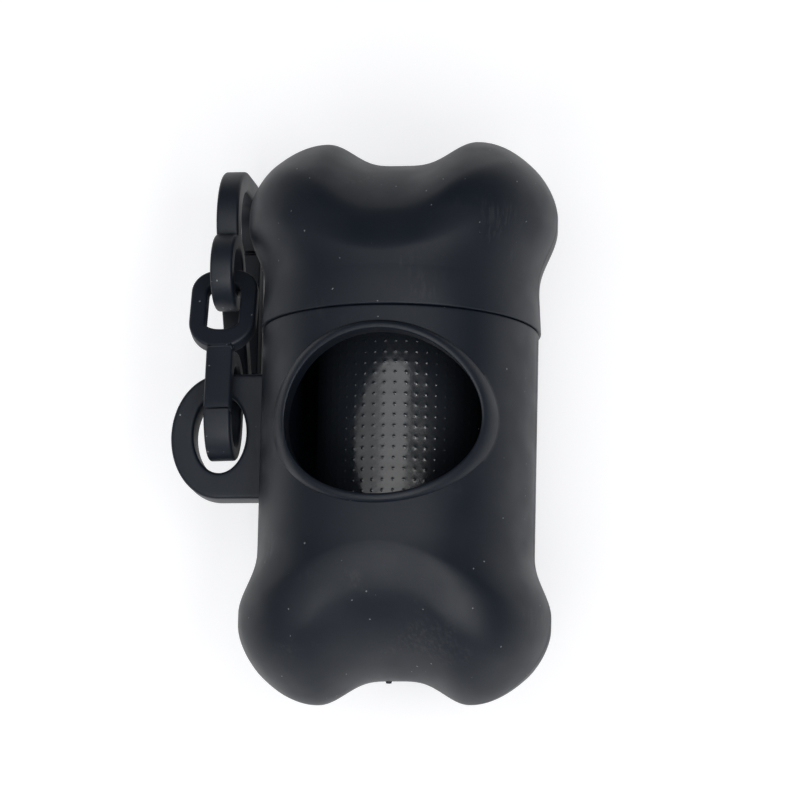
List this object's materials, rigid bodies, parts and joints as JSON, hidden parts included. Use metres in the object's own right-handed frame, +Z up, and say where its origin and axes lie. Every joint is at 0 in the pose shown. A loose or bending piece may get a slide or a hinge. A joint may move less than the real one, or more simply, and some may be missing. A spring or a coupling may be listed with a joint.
{
  "type": "dog waste bag dispenser",
  "caption": "Bone-shaped dispenser for rolled dog waste bags: windowed barrel case with a pull-off cap, bag roll on a core, side lug, link and strap clip.",
  "frame": {"origin": "on the line where the barrel's axis meets the surface the case lies on, at the middle of the case's length", "axes": "+Y along the bone towards the cap, +Z up through the window, +X away from the lug"},
  "size_m": [0.0587, 0.087, 0.0432],
  "materials": {
    "shell": "fine satin black moulded plastic",
    "trim": "fine satin black moulded plastic",
    "film": "glossy black film with a fine embossed grain",
    "card": "spiral-wound grey-brown card"
  },
  "bodies": {
    "case": {"case_body": "shell"},
    "cap": {"cap": "shell"},
    "roll": {"bag_roll": "film", "roll_core": "card"},
    "link": {"link": "trim"},
    "clip": {"clip_frame": "trim"},
    "gate": {"clip_gate": "trim"}
  },
  "joints": [
    {"name": "cap_pull", "type": "slide", "parent": "case", "child": "cap", "axis": [0, 1, 0], "range_m": [0, 0.075]},
    {"name": "roll_spin", "type": "hinge", "parent": "case", "child": "roll", "pos_m": [0, 0, 0.01789], "axis": [0, 1, 0], "continuous": true},
    {"name": "link_swing", "type": "hinge", "parent": "case", "child": "link", "pos_m": [-0.02725, 0.00545, 0.0214], "axis": [1, 0, 0], "range_deg": [-35, 90]},
    {"name": "clip_swing", "type": "hinge", "parent": "link", "child": "clip", "pos_m": [-0.0272, 0.02267, 0.02053], "axis": [1, 0, 0], "range_deg": [-3, 75]},
    {"name": "gate_open", "type": "hinge", "parent": "clip", "child": "gate", "pos_m": [-0.0272, 0.01237, 0.00165], "axis": [1, 0, 0], "range_deg": [0, 28], "stiffness_Nm_per_rad": 0.12, "springref_deg": -5.73}
  ]
}
